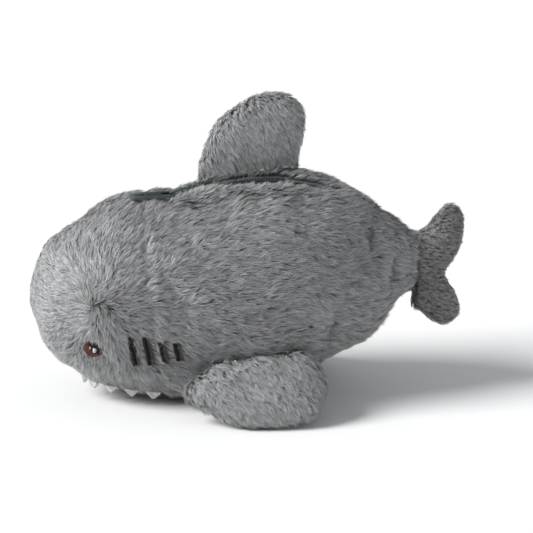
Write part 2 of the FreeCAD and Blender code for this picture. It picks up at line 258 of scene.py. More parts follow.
def lacquer_material(name, paint, worn):
    """Painted die-cast metal, rubbed on its edges and high spots."""
    material, tree, shader = new_material(name)
    edges = tree.nodes.new("ShaderNodeNewGeometry")
    wear = ramp_node(tree, edges.outputs["Pointiness"], [(0.50, grey(0.0)), (0.60, grey(1.0))])
    scuffs = noise_node(tree, 700.0, 5.0)
    patches = ramp_node(tree, scuffs, [(0.35, tuple(c * 0.6 for c in paint)), (0.7, paint)])
    mix = tree.nodes.new("ShaderNodeMix")
    mix.data_type = "RGBA"
    tree.links.new(wear, mix.inputs["Factor"])
    tree.links.new(patches, mix.inputs["A"])
    mix.inputs["B"].default_value = (*worn, 1.0)
    tree.links.new(mix.outputs["Result"], shader.inputs["Base Color"])
    shader.inputs["Metallic"].default_value = 0.35
    rough = tree.nodes.new("ShaderNodeMapRange")
    rough.inputs["To Min"].default_value = 0.28
    rough.inputs["To Max"].default_value = 0.5
    tree.links.new(scuffs, rough.inputs["Value"])
    tree.links.new(rough.outputs["Result"], shader.inputs["Roughness"])
    bump(tree, shader, scuffs, 0.15, 0.0002)
    return material


def coil_material(name):
    """Moulded nylon in dark grey."""
    material, tree, shader = new_material(name)
    tone = ramp_node(tree, noise_node(tree, 500.0), [(0.3, (0.030, 0.031, 0.037)),
                                                     (0.7, (0.058, 0.060, 0.070))])
    tree.links.new(tone, shader.inputs["Base Color"])
    shader.inputs["Roughness"].default_value = 0.42
    return material


GREY_FUR = fur_material("grey_pile", 0.15, 0.86, -0.012)
# A lighter copy of the grey pile for the dorsal and side fins: painted light, standing for the light
# these fins catch.
PAINTED_LIGHT_FUR = fur_material("painted_light_pile", 0.21, 0.94, -0.012)
# A darker copy of the grey pile for the tail fin: painted shade.
PAINTED_SHADE_FUR = fur_material("painted_shade_pile", 0.08, 0.58, 0.0)
PALE_FUR = fur_material("pale_pile", 0.5, 0.95, 0.02)
FELT_FUZZ = fur_material("felt_fuzz", 0.75, 0.95, -0.02)
FELT = backing_material("felt", 0.72)
# The backing's dark grey is partly painted shade: it stands for the shadow deep in the pile between
# the strands.
GREY_BACKING_PAINTED_SHADE = backing_material("grey_backing_painted_shade", 0.11)
PALE_BACKING = backing_material("pale_backing", 0.5)
BLACK_THREAD = thread_material("black_thread", (0.007, 0.007, 0.009), 0.6)
BROWN_THREAD = thread_material("brown_thread", (0.13, 0.034, 0.017))
WHITE_THREAD = thread_material("white_thread", (0.82, 0.84, 0.90), 0.3)
TAPE_WEAVE = woven_material("tape_weave", (0.052, 0.053, 0.064), (0.014, 0.014, 0.018), 260.0)
LINING_WEAVE = woven_material("lining_weave", (0.34, 0.34, 0.36), (0.20, 0.20, 0.22), 190.0)
LACQUER = lacquer_material("dark_lacquer", (0.013, 0.023, 0.022), (0.09, 0.115, 0.11))
NYLON = coil_material("coil_nylon")


# ---- The zip's own frame -------------------------------------------------------
ZIP = joint("zip_slider")
ZIP_CENTRE = np.array(ZIP["pos_m"])
ZIP_AXIS = unit(np.array(ZIP["axis"], float))
ZIP_UP = np.cross(X_AXIS, ZIP_AXIS)


def zip_coords(points):
    """How far across the zip, how high above its arc's centre and at what angle along it."""
    offset = np.asarray(points) - ZIP_CENTRE
    across = offset @ ZIP_AXIS
    along = offset[..., 0]
    up = offset @ ZIP_UP
    return across, np.hypot(along, up), np.arctan2(along, up)


def zip_point(across, height, angle):
    """The point at those zip coordinates; height is measured from the tape's middle."""
    radius = ZIP_RADIUS + height
    return (ZIP_CENTRE + ZIP_AXIS * across
            + X_AXIS * (radius * math.sin(angle))
            + ZIP_UP * (radius * math.cos(angle)))


def zip_opening(across, angle):
    """How far inside the open strip along the zip a place is; the near side's pile covers
    most of its front."""
    near = 1.6 * MM + 3.0 * MM * smooth((angle + math.radians(17.0)) / math.radians(11.0))
    inside = np.where(across < 0.0, near, FAR_OPENING) - np.abs(across)
    ends = np.minimum(angle - ZIP_START - FRONT_COVER, ZIP_END - REAR_COVER - angle) * ZIP_RADIUS
    return np.minimum(inside, ends)


tape_points = np.array(node_mesh("zip_tape_left")[0])
tape_across, tape_radius, tape_angle = zip_coords(tape_points)
ZIP_RADIUS = (tape_radius.min() + tape_radius.max()) / 2.0
ZIP_START, ZIP_END = tape_angle.min(), tape_angle.max()
TAPE_EDGE = np.abs(tape_across).max()
SLOT_HALF = 4.5 * MM
FAR_OPENING = 3.9 * MM       # how far the far side's pile stays from the zip's middle
FRONT_COVER, REAR_COVER = 0.02, 0.06   # how much of each end the pile covers, in radians
ZIP_FLOOR = 0.085            # the zip is the only thing above this height on the back


# ---- Padding -------------------------------------------------------------------
CLOTH_FRAMES = 20


def puff(obj, held, pressure, cap):
    """Cloth blown out by its stuffing, held where held is 1; no point moves beyond cap."""
    start = mesh_arrays(obj)[0]
    group = obj.vertex_groups.new(name="held")
    for number, weight in enumerate(held):
        if weight > 0.01:
            group.add([number], float(weight), "REPLACE")
    cloth = obj.modifiers.new("cloth", "CLOTH")
    cloth.settings.vertex_group_mass = "held"
    cloth.settings.use_pressure = True
    cloth.settings.uniform_pressure_force = pressure
    cloth.settings.shrink_min = -0.015
    cloth.settings.bending_stiffness = 0.3
    cloth.settings.effector_weights.gravity = 0.0
    cloth.point_cache.frame_end = CLOTH_FRAMES
    scene = bpy.context.scene
    for frame_number in range(1, CLOTH_FRAMES + 1):
        scene.frame_set(frame_number)
    apply_modifiers(obj)
    scene.frame_set(1)
    points = mesh_arrays(obj)[0]
    move = points - start
    span = np.linalg.norm(move, axis=1, keepdims=True)
    points = start + move * np.minimum(1.0, cap / np.maximum(span, 1e-9))
    obj.data.vertices.foreach_set("co", points.ravel())
    obj.data.update()


def apply_modifiers(obj):
    """Bake an object's modifiers into its mesh."""
    graph = bpy.context.evaluated_depsgraph_get()
    graph.update()
    mesh = bpy.data.meshes.new_from_object(obj.evaluated_get(graph))
    obj.modifiers.clear()
    obj.data = mesh


# ---- The body's skin -----------------------------------------------------------
SKIN_DEPTH = 2.0 * MM
SKIN_THICKNESS = 1.2 * MM
LOWEST_SKIN = 1.2 * MM       # leaves room for the pile above the floor
RINGS = 112
SPOKES = 120
HEAD_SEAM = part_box("head_panel_left")[1].x
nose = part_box("head_panel_left")[0].x
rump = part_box("side_panel_left")[1].x


def body_rings():
    """The body's outside, measured on the CAD panels: points in rings from nose to rump."""
    tree = tree_of(*PANELS)
    far = 0.3
    share = (1.0 - np.cos(np.linspace(0.06, 0.88 * math.pi, RINGS))) / 2.0
    share = (share - share[0]) / (share[-1] - share[0])
    stations = nose + 0.5 * MM + (rump - 0.4 * MM - nose - 0.5 * MM) * share
    angles = np.linspace(0.0, 2.0 * math.pi, SPOKES, endpoint=False)
    rings = np.zeros((RINGS, SPOKES, 3))
    for i, x in enumerate(stations):
        top = tree.ray_cast(Vector((x, 0.4 * MM, far)), Vector((0, 0, -1)))[0].z
        base = tree.ray_cast(Vector((x, 0.4 * MM, -far)), Vector((0, 0, 1)))[0].z
        middle = (top + base) / 2.0
        reach = np.full(SPOKES, np.nan)
        for j, angle in enumerate(angles):
            way = Vector((0.0, math.sin(angle), math.cos(angle)))
            hit = tree.ray_cast(Vector((x, 0.0, middle)) + way * far, -way)[0]
            across, radius, along = zip_coords(np.array(hit))
            in_slot = abs(across) < SLOT_HALF + 0.8 * MM and hit.z > middle
            if not (in_slot and ZIP_START - 0.02 < along < ZIP_END + 0.02):
                reach[j] = (hit - Vector((x, 0.0, middle))).length
        known = ~np.isnan(reach)
        reach = np.interp(angles, angles[known], reach[known], period=2.0 * math.pi)
        rings[i, :, 0] = x
        rings[i, :, 1] = reach * np.sin(angles)
        rings[i, :, 2] = middle + reach * np.cos(angles)
    return rings


def ring_normals(rings):
    """Outward normals on a grid of rings."""
    along = np.gradient(rings, axis=0)
    around = np.roll(rings, -1, axis=1) - np.roll(rings, 1, axis=1)
    return unit(np.cross(along, around))


def lumps(points, size, seed):
    """Slow noise from -1 to 1 at each point."""
    shift = Vector((seed * 7.3, seed * 3.1, seed * 5.7))
    flat = points.reshape(-1, 3)
    values = [noise.noise(Vector(p) / size + shift) for p in flat]
    return np.array(values).reshape(points.shape[:-1])


def body_surface():
    """The skin under the pile: inset, with the head seam, lumps, the zip's bed and a fold."""
    rings = body_rings()
    for _ in range(2):
        rings[1:-1] = (rings[:-2] + 2.0 * rings[1:-1] + rings[2:]) / 4.0
        rings = (np.roll(rings, 1, axis=1) + 2.0 * rings + np.roll(rings, -1, axis=1)) / 4.0
    normals = ring_normals(rings)
    lift = -SKIN_DEPTH + 1.3 * MM * lumps(rings, 0.034, 1) + 0.5 * MM * lumps(rings, 0.012, 2)
    seam = np.abs(rings[..., 0] - HEAD_SEAM - 0.1 * (0.09 - rings[..., 2]))
    lift -= 1.0 * MM * np.exp(-(seam / (2.2 * MM)) ** 2)
    across, radius, angle = zip_coords(rings)
    above = np.maximum(radius - ZIP_RADIUS, -3.0 * MM)
    near = smooth(1.0 - (np.abs(across) - 2.4 * MM) / (4.0 * MM))
    ends = smooth((angle - ZIP_START + 0.03) / 0.06) * smooth((ZIP_END + 0.03 - angle) / 0.06)
    on_top = (rings[..., 2] > ZIP_FLOOR) * near * ends
    lift = lift * (1.0 - on_top) - (above - 0.7 * MM) * on_top
    high = rings[..., 2] - 86.0 * MM
    fold = (rings[..., 0] - 58.0 * MM) - 0.45 * high - 8.0 * high ** 2
    along_fold = np.exp(-(high / (15.0 * MM)) ** 2)
    lift -= 1.7 * MM * np.exp(-(fold / (8.5 * MM)) ** 2) * along_fold
    lift += 2.6 * MM * smooth((-82.0 * MM - rings[..., 0]) / (18.0 * MM))
    rump = smooth((rings[..., 0] - 60.0 * MM) / (16.0 * MM))
    lift += 2.0 * MM * rump * smooth((normals[..., 2] - 0.1) / 0.8)
    rings = rings + normals * lift[..., None]
    rings[..., 2] = np.maximum(rings[..., 2], LOWEST_SKIN)
    return rings


TAPE_COVER = 0.8 * MM        # how high the skin lies above the tapes' middle
HIGHEST_RISE = 6.0 * MM


def lie_over_tape(points):
    """The points raised, where they are over the zip's tapes, to lie on top of them."""
    across, radius, angle = zip_coords(points)
    beside = smooth((TAPE_EDGE + 2.5 * MM - np.abs(across)) / (2.5 * MM))
    on_zip = smooth((angle - ZIP_START + 0.05) / 0.05) * smooth((ZIP_END + 0.05 - angle) / 0.05)
    want = ZIP_RADIUS + TAPE_COVER - radius
    rise = np.clip(want, 0.0, HIGHEST_RISE) * beside * on_zip * (points[..., 2] > ZIP_FLOOR)
    outwards = np.sin(angle)[..., None] * X_AXIS + np.cos(angle)[..., None] * ZIP_UP
    return points + outwards * rise[..., None]


def grid_faces(rows, columns):
    """Quads of a closed-round grid."""
    return [(i * columns + j, (i + 1) * columns + j, (i + 1) * columns + (j + 1) % columns,
             i * columns + (j + 1) % columns) for i in range(rows - 1) for j in range(columns)]


def nearest_panel(centres):
    """For each centre, the number of the CAD panel that lies nearest."""
    trees = [tree_of(p) for p in PANELS]
    labels = np.zeros(len(centres), int)
    for k, centre in enumerate(centres):
        spans = [tree.find_nearest(Vector(centre))[3] for tree in trees]
        labels[k] = int(np.argmin(spans))
    return labels


def close_sheet(points, faces, normals, thickness):
    """A sheet given a thickness inwards, with its rim closed."""
    count = len(points)
    inner = points - normals * thickness
    edges = dict.fromkeys((a, b) for face in faces for a, b in zip(face, face[1:] + face[:1]))
    rim = [(a, b) for a, b in edges if (b, a) not in edges]
    sides = [(b, a, a + count, b + count) for a, b in rim]
    backs = [tuple(i + count for i in reversed(face)) for face in faces]
    return np.vstack([points, inner]), list(faces) + backs + sides


def compact(points, faces, *extras):
    """Only the points that the faces use, with the faces renumbered to match."""
    used = sorted({i for face in faces for i in face})
    number = {old: new for new, old in enumerate(used)}
    renumbered = [tuple(number[i] for i in face) for face in faces]
    return (points[used], renumbered, *[extra[used] for extra in extras])


# ---- Fur ----------------------------------------------------------------------
def scatter(points, normals, triangles, count):
    """Random places on a surface, even by area, with their normals."""
    a, b, c = (points[triangles[:, k]] for k in range(3))
    area = np.linalg.norm(np.cross(b - a, c - a), axis=1)
    pick = random.choice(len(triangles), count, p=area / area.sum())
    u, v = random.random((2, count, 1))
    flip = (u + v) > 1.0
    u, v = np.where(flip, 1.0 - u, u), np.where(flip, 1.0 - v, v)
    w = 1.0 - u - v
    place = a[pick] * w + b[pick] * u + c[pick] * v
    na, nb, nc = (normals[triangles[pick, k]] for k in range(3))
    return place, unit(na * w + nb * u + nc * v)


def surface_area(points, triangles):
    """The area of a mesh, in square metres."""
    a, b, c = (points[triangles[:, k]] for k in range(3))
    return np.linalg.norm(np.cross(b - a, c - a), axis=1).sum() / 2.0


def turned(way, normal, angle):
    """way turned about normal by an angle, row by row."""
    side = np.cross(normal, way)
    return way * np.cos(angle)[:, None] + side * np.sin(angle)[:, None]


def nearest_of(centres, places):
    """The number of the nearest centre for each place."""
    tree = kdtree.KDTree(len(centres))
    for k, centre in enumerate(centres):
        tree.insert(centre, k)
    tree.balance()
    return np.array([tree.find(p)[1] for p in places])


STRANDS_PER_CLUMP = 9
BEND_AT = 0.42               # where along its length a strand bends
MOST_STRANDS = 66000         # keeps each piece of fur under 200,000 triangles


def grow(name, place, normal, way, length, material, lift=(52.0, 10.0), width=0.29 * MM,
         gather=0.28, stray=0.17, stand=1.0):
    """One piece of fur: a tapered blade of three triangles for each place on the skin."""
    keep = length > 0.4 * MM
    stand = np.broadcast_to(stand, keep.shape)[keep]
    place, normal, way, length = place[keep], normal[keep], way[keep], length[keep]
    count = min(len(place), MOST_STRANDS)
    place, normal, way, length = place[:count], normal[:count], way[:count], length[:count]
    stand = stand[:count]
    way = unit(way - normal * np.sum(way * normal, axis=1, keepdims=True))
    heads = random.choice(count, max(count // STRANDS_PER_CLUMP, 1), replace=False)
    clump = nearest_of(place[heads], place)
    clump_turn = random.normal(0.0, 0.26, len(heads))[clump]
    clump_size = random.uniform(0.84, 1.1, len(heads))[clump]
    clump_lift = random.uniform(0.75, 1.12, len(heads))[clump]
    clump_tone = random.random(len(heads))[clump]
    way = turned(way, normal, clump_turn + random.normal(0.0, stray, count))
    length = length * clump_size * random.uniform(0.82, 1.08, count)
    first = np.radians(np.minimum(lift[0] * clump_lift * stand, 88.0))
    second = np.radians(lift[1]) * clump_lift + 0.8 * (stand - 1.0)
    second = second + random.normal(0.0, 0.10, count)
    side = np.cross(normal, way)
    root = place - normal * 0.3 * MM
    bend = side * (length * random.normal(0.0, 0.07, count))[:, None]
    step = (way * np.cos(first)[:, None] + normal * np.sin(first)[:, None]) * length[:, None]
    middle = root + step * BEND_AT + bend
    step = (way * np.cos(second)[:, None] + normal * np.sin(second)[:, None]) * length[:, None]
    tip = middle + step * (1.0 - BEND_AT)
    head = heads[clump]
    tip = tip + (tip[head] - tip) * gather
    middle = middle + (middle[head] - middle) * gather * 0.45
    for point in (root, middle, tip):
        point[:, 2] = np.maximum(point[:, 2], 0.25 * MM)
    roll = random.normal(0.0, 0.45, count)[:, None]
    blade = unit(side * np.cos(roll) + normal * np.sin(roll))
    half = (width * random.uniform(0.75, 1.2, count) / 2.0)[:, None]
    points = np.stack([root - blade * half, root + blade * half, middle + blade * half * 0.85,
                       middle - blade * half * 0.85, tip], axis=1).reshape(-1, 3)
    base = np.arange(count) * 5
    loops = (base[:, None] + np.array([1, 0, 3, 2, 2, 3, 4])).ravel()
    starts = (np.arange(count)[:, None] * 7 + np.array([0, 4])).ravel()
    mesh = bpy.data.meshes.new(name)
    mesh.vertices.add(count * 5)
    mesh.vertices.foreach_set("co", points.ravel())
    mesh.loops.add(count * 7)
    mesh.loops.foreach_set("vertex_index", loops.astype(np.int32))
    mesh.polygons.add(count * 2)
    mesh.polygons.foreach_set("loop_start", starts.astype(np.int32))
    mesh.update(calc_edges=True)
    mesh.polygons.foreach_set("use_smooth", np.ones(count * 2, bool))
    mesh.materials.append(material)
    tone = np.zeros((count, 5, 4), np.float32)
    tone[:, :, 0] = (0.0, 0.0, 0.5, 0.5, 1.0)
    tone[:, :, 1] = random.random(count)[:, None]
    tone[:, :, 2] = clump_tone[:, None]
    tone[:, :, 3] = 1.0
    mesh.attributes.new("strand", "FLOAT_COLOR", "POINT").data.foreach_set("color", tone.ravel())
    bake_cells(mesh, count)
    shine = unit(normal + blade * random.normal(0.0, 0.45, count)[:, None] + way * 0.25)
    mesh.normals_split_custom_set_from_vertices(np.repeat(shine, 5, axis=0).tolist())
    obj = bpy.data.objects.new(name, mesh)
    bpy.context.scene.collection.objects.link(obj)
    return obj


def bake_cells(mesh, count):
    """A UV layer that gives each blade its own small cell, root at the bottom."""
    columns = int(math.ceil(math.sqrt(count)))
    number = np.arange(count)
    corner = np.stack([number % columns, number // columns], axis=1) / columns
    shape = np.array([[0.1, 0.1], [0.9, 0.1], [0.9, 0.5], [0.1, 0.5],
                      [0.1, 0.5], [0.9, 0.5], [0.5, 0.9]]) / columns
    layer = mesh.uv_layers.new(name="OFBake")
    layer.data.foreach_set("uv", (corner[:, None, :] + shape[None]).ravel())


# ---- Body: skins and fur ----------------------------------------------------------
PILE = 7.4 * MM
FUR_DENSITY = 4.3 / MM ** 2
WHORL = np.array([-75.5, 0.0, 55.0]) * MM
SURFACE = tree_of(*PANELS)


def body_way(place):
    """Which way the pile is brushed: out from a whorl above each eye, then towards the tail."""
    side = np.where(place[:, 1] < 0.0, -1.0, 1.0)
    out = place - WHORL
    out[:, 1] = 0.0
    reach = np.linalg.norm(out, axis=1)
    out = out / np.maximum(reach, 1.0 * MM)[:, None]
    swirl = np.stack([out[:, 2], np.zeros(len(place)), -out[:, 0]], axis=1)
    out = out + swirl * (0.5 * np.exp(-reach / (9.0 * MM)))[:, None]
    near = np.exp(-(reach / (13.0 * MM)) ** 2)
    parted = np.stack([0.3 * side, -0.1 * side, np.full(len(place), -0.45)], axis=1)
    out = out + parted * near[:, None]
    behind = smooth((place[:, 0] + 50.0 * MM) / (95.0 * MM))[:, None]
    slope = 0.22 * np.sin(place[:, 0] / (17.0 * MM) + place[:, 2] / (23.0 * MM))
    rear = np.stack([np.ones(len(place)), 0.05 * side, slope - 0.06], axis=1)
    way = unit(out * (1.0 - 0.8 * behind) + rear * 0.8 * behind)
    wave = 0.55 * lumps(place, 0.020, 3) + 0.45 * lumps(place, 0.008, 4)
    wave += 1.6 * near * lumps(place, 0.0045, 6)
    c, d = np.cos(wave), np.sin(wave) * side
    way = np.stack([way[:, 0] * c - way[:, 2] * d, way[:, 1],
                    way[:, 0] * d + way[:, 2] * c], axis=1)
    return beside_zip(place, way)


def beside_zip(place, way):
    """Along the zip the pile stands up and leans over the tape from both sides."""
    across, radius, angle = zip_coords(place)
    on_zip = smooth((angle - ZIP_START + 0.06) / 0.05) * smooth((ZIP_END + 0.05 - angle) / 0.05)
    close = smooth(1.0 - (np.abs(across) - 3.0 * MM) / (8.0 * MM))
    close = close * on_zip * (place[:, 2] > ZIP_FLOOR)
    front = smooth((math.radians(-8.0) - angle) / math.radians(10.0))
    lean = np.where(across < 0.0, 0.15 + 0.65 * front, 0.25)[:, None]
    over = ZIP_AXIS * lean + 0.75 * X_AXIS
    return unit(way * (1.0 - close[:, None]) + over * close[:, None])


def gap_to(node, place, normal):
    """How far each place on the skin is from being under a patch of embroidery."""
    tree = tree_of(node + "_left")
    probe = place + normal * SKIN_DEPTH
    probe[:, 1] = -np.abs(probe[:, 1])
    return np.array([tree.find_nearest(Vector(p))[3] for p in probe])


def body_length(place, normal):
    """How long the pile is: short on the snout, and round the eyes, gills and zip."""
    length = np.full(len(place), PILE)
    snout = smooth((place[:, 0] - nose) / (40.0 * MM))
    length *= 0.5 + 0.5 * snout
    to_eye = gap_to("eye_iris", place, normal)
    length *= 0.5 + 0.5 * smooth(to_eye / (6.0 * MM))
    length[to_eye < 0.7 * MM] = 0.0
    to_gill = gap_to("gill_stitches", place, normal)
    length *= 0.6 + 0.4 * smooth(to_gill / (5.0 * MM))
    length[to_gill < 0.8 * MM] = 0.0
    across, radius, angle = zip_coords(place)
    beside = -zip_opening(across, angle)
    on_back = place[:, 2] > ZIP_FLOOR
    length = np.where(on_back, length * (0.62 + 0.38 * smooth(beside / (7.0 * MM))), length)
    length[on_back & (beside < 0.1 * MM)] = 0.0
    return length


def body_stand(place):
    """How upright the pile is: more so at the whorls and along the zip."""
    to_whorl = np.linalg.norm((place - WHORL) * np.array([1.0, 0.0, 1.0]), axis=1)
    across, radius, angle = zip_coords(place)
    beside = -zip_opening(across, angle)
    fringe = smooth(1.0 - beside / (7.0 * MM)) * (place[:, 2] > ZIP_FLOOR)
    return 1.0 + 0.25 * np.exp(-(to_whorl / (7.0 * MM)) ** 2) + 0.3 * fringe


def belly_way(place):
    """Rearward pile on the pale belly."""
    return np.tile(np.array([1.0, 0.0, 0.1]), (len(place), 1))


WADDING_UNDER = {"side_panel_left": ("wadding_left",), "side_panel_right": ("wadding_right",)}


def body_form():
    """The closed skin of the body, plumped between its seams: an object, not kept."""
    rings = body_surface()
    faces = grid_faces(RINGS, SPOKES)
    points = np.vstack([rings.reshape(-1, 3), rings[0].mean(0), rings[-1].mean(0)])
    first, last = len(points) - 2, len(points) - 1
    row = (RINGS - 1) * SPOKES
    faces += [(first, j, (j + 1) % SPOKES) for j in range(SPOKES)]
    faces += [(last, row + (j + 1) % SPOKES, row + j) for j in range(SPOKES)]
    obj = mesh_object("body_form", points, faces, None)
    across, radius, angle = zip_coords(points)
    held = 1.0 - smooth((np.abs(points[:, 0] - HEAD_SEAM) - 1.5 * MM) / (5.0 * MM))
    zip_side = (points[:, 2] > ZIP_FLOOR) & (angle > ZIP_START - 0.04) & (angle < ZIP_END + 0.04)
    held = np.maximum(held, zip_side * (1.0 - smooth((np.abs(across) - 5.0 * MM) / (5.0 * MM))))
    low = tree_of("belly_panel")
    to_belly = np.array([low.find_nearest(Vector(point))[3] for point in points])
    held = np.maximum(held, 1.0 - smooth((to_belly - 2.5 * MM) / (4.0 * MM)))
    ends = np.maximum(nose + 6.0 * MM - points[:, 0], points[:, 0] - rump + 4.0 * MM)
    held = np.maximum(held, smooth(ends / (4.0 * MM)))
    puff(obj, held, 3.0, 2.4 * MM)
    return obj


def build_body():
    """Five padded skins with the pile on them, split along the sewn seams."""
    form = body_form()
    points, normals, _ = mesh_arrays(form)
    points[:, 2] = np.maximum(points[:, 2], LOWEST_SKIN)
    points = lie_over_tape(points)
    faces = [tuple(p.vertices) for p in form.data.polygons]
    bpy.data.objects.remove(form)
    centres = np.array([points[list(face)].mean(0) for face in faces])
    labels = nearest_panel(centres)
    across, radius, angle = zip_coords(centres)
    under_zip = (zip_opening(across, angle) > 0.0) & (centres[:, 2] > ZIP_FLOOR)
    for number, panel in enumerate(PANELS):
        chosen = [face for face, label, hidden in zip(faces, labels, under_zip)
                  if label == number and not hidden]
        part, part_faces, part_normals = compact(points, chosen, normals)
        pale = panel == "belly_panel"
        skin = mesh_object(panel.replace("panel", "skin"),
                           *close_sheet(part, part_faces, part_normals, SKIN_THICKNESS),
                           PALE_BACKING if pale else GREY_BACKING_PAINTED_SHADE)
        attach(skin, BODY)
        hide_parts(panel, *WADDING_UNDER.get(panel, ()))
        triangles = np.array([(f[0], f[i], f[i + 1]) for f in part_faces
                              for i in range(1, len(f) - 1)])
        count = int(surface_area(part, triangles) * FUR_DENSITY * (0.8 if pale else 1.0))
        place, normal = scatter(part, part_normals, triangles, count)
        if pale:
            way, length, stand = belly_way(place), np.full(count, PILE * 0.6), 1.0
        else:
            way, length = body_way(place), body_length(place, normal)
            stand = body_stand(place)
        fur = grow(panel.replace("panel", "fur"), place, normal, way, length,
                   PALE_FUR if pale else GREY_FUR, stand=stand)
        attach(fur, BODY)


# ---- Fins ---------------------------------------------------------------------------
def voxel_form(name, nodes, voxel, material):
    """A closed mesh round CAD nodes, remeshed on an even grid."""
    obj = mesh_object(name, *node_mesh(*nodes), material)
    remesh = obj.modifiers.new("remesh", "REMESH")
    remesh.mode = "VOXEL"
    remesh.voxel_size = voxel
    remesh.use_smooth_shade = True
    apply_modifiers(obj)
    return obj


FIN_VOXEL = 1.6 * MM
FIN_DEPTH = 1.6 * MM         # how far a fin's skin lies under the CAD's surface


def fin_skin(name, nodes, root):
    """A stuffed fin's skin, pulled in under its pile and stretched into the body at its root."""
    obj = voxel_form(name, nodes, FIN_VOXEL, GREY_BACKING_PAINTED_SHADE)
    points, normals, _ = mesh_arrays(obj)
    points = points - normals * FIN_DEPTH
    points += normals * (0.7 * MM * lumps(points, 0.014, len(name)))[:, None]
    outwards = unit(np.array(root[1]) - np.array(root[0]))
    height = (points - np.array(root[0])) @ outwards
    points = points - outwards * (smooth(1.0 - height / (5.0 * MM)) * 4.2 * MM)[:, None]
    points[:, 2] = np.maximum(points[:, 2], 1.0 * MM)
    obj.data.vertices.foreach_set("co", points.ravel())
    obj.data.update()
    puff(obj, 1.0 - smooth((height - 4.0 * MM) / (6.0 * MM)), 2.0, 1.0 * MM)
    return obj


def build_fin(name, nodes, root, way, pile, density, fur=GREY_FUR):
    """A fin: its skin and its pile, both bending at the sewn root."""
    skin = fin_skin(name + "_skin", nodes, root)
    points, normals, triangles = mesh_arrays(skin)
    count = int(surface_area(points, triangles) * density)
    place, normal = scatter(points, normals, triangles, count)
    length = np.full(count, pile)
    hair = grow(name + "_fur", place, normal, way(place, normal), length, fur)
    for obj in (skin, hair):
        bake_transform(obj)
    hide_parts(*nodes)


def combed(*direction):
    """A brushing direction that is the same all over."""
    return lambda place, normal: np.tile(np.array(direction, float), (len(place), 1))


def build_fins():
    """The dorsal, tail and side fins, each rooted where its joint lies."""
    dorsal = np.array(joint("dorsal_fin_flop")["pos_m"])
    # The dorsal fin's pile is the painted-light copy.
    build_fin("dorsal_fin", ("dorsal_fin_left", "dorsal_fin_right", "dorsal_fin_stuffing"),
              (dorsal - [0, 0, 1 * MM], dorsal + [0, 0, 12 * MM]),
              combed(0.55, 0.0, -0.8), 5.6 * MM, FUR_DENSITY * 1.5, PAINTED_LIGHT_FUR)
    tail = np.array(joint("tail_sway")["pos_m"])
    # The tail fin's pile is the painted-shade copy.
    build_fin("tail_fin", ("tail_fin_left", "tail_fin_right", "tail_fin_stuffing"),
              (tail - [1 * MM, 0, 0], tail + [9 * MM, 0, 0]),
              combed(1.0, 0.0, -0.2), 3.8 * MM, FUR_DENSITY * 1.3, PAINTED_SHADE_FUR)
    for side, name in ((-1.0, "pectoral_left"), (1.0, "pectoral_right")):
        root = np.array(joint(name + "_lift")["pos_m"])
        outwards = np.array([0.0, side * 0.67, -0.74])
        start = root + outwards * -2 * MM
        # The side fins' pile is the painted-light copy.
        build_fin(name, (name + "_upper", name + "_lower", name + "_stuffing"),
                  (start, start + outwards * 11 * MM), combed(0.62, side * 0.45, -0.62),
                  6.6 * MM, FUR_DENSITY * 1.4, PAINTED_LIGHT_FUR)


# ---- Embroidery --------------------------------------------------------------------
def separate_patches(node):
    """The points of each solid in a CAD node, told apart by their gaps along x."""
    points = np.array(node_mesh(node)[0])
    order = points[np.argsort(points[:, 0])]
    cuts = np.where(np.diff(order[:, 0]) > 1.5 * MM)[0] + 1
    return np.split(order, cuts)


def patch_frame(points, lean):
    """A patch's middle, and directions out of it, along its stitches' rows and across them."""
    centre = (points.min(0) + points.max(0)) / 2.0
    normal = np.array(SURFACE.find_nearest(Vector(centre))[1])
    upright = unit(np.array([0.0, 0.0, 1.0]) - normal * normal[2])
    sideways = np.cross(upright, normal)
    along = upright * math.cos(lean) + sideways * math.sin(lean)
    return centre, normal, along, np.cross(normal, along)


def runs_across(tree, centre, normal, across, reach):
    """The stretches of one row that lie over the patch, as start and end distances."""
    step = 0.12 * MM
    runs, start, end = [], None, None
    for place in np.arange(-reach, reach, step):
        above = Vector(centre + across * place + normal * 5 * MM)
        inside = tree.ray_cast(above, Vector(-normal), 10 * MM)[0] is not None
        if inside:
            start, end = (place if start is None else start), place
        elif start is not None:
            runs.append((start, end))
            start = None
    return runs


def thread(start, end, along, pitch, rise):
    """One stitch from start to end over the body: an arched thread with a round back."""
    steps = np.linspace(0.0, 1.0, 8)
    points = []
    for t in steps:
        place, normal = SURFACE.find_nearest(Vector(start + (end - start) * t))[:2]
        place, normal = np.array(place), np.array(normal)
        lift = rise * math.sin(math.pi * min(max(t, 0.02), 0.98)) ** 0.4
        low = place + normal * (lift - 0.7 * pitch)
        half = along * pitch * 0.56
        points += [low - half, place + normal * lift - half * 0.5,
                   place + normal * lift + half * 0.5, low + half]
    quads = [(4 * k + c, 4 * k + (c + 1) % 4, 4 * k + 4 + (c + 1) % 4, 4 * k + 4 + c)
             for k in range(len(steps) - 1) for c in range(4)]
    return points, quads + [(3, 2, 1, 0), tuple(len(points) - 4 + c for c in range(4))]


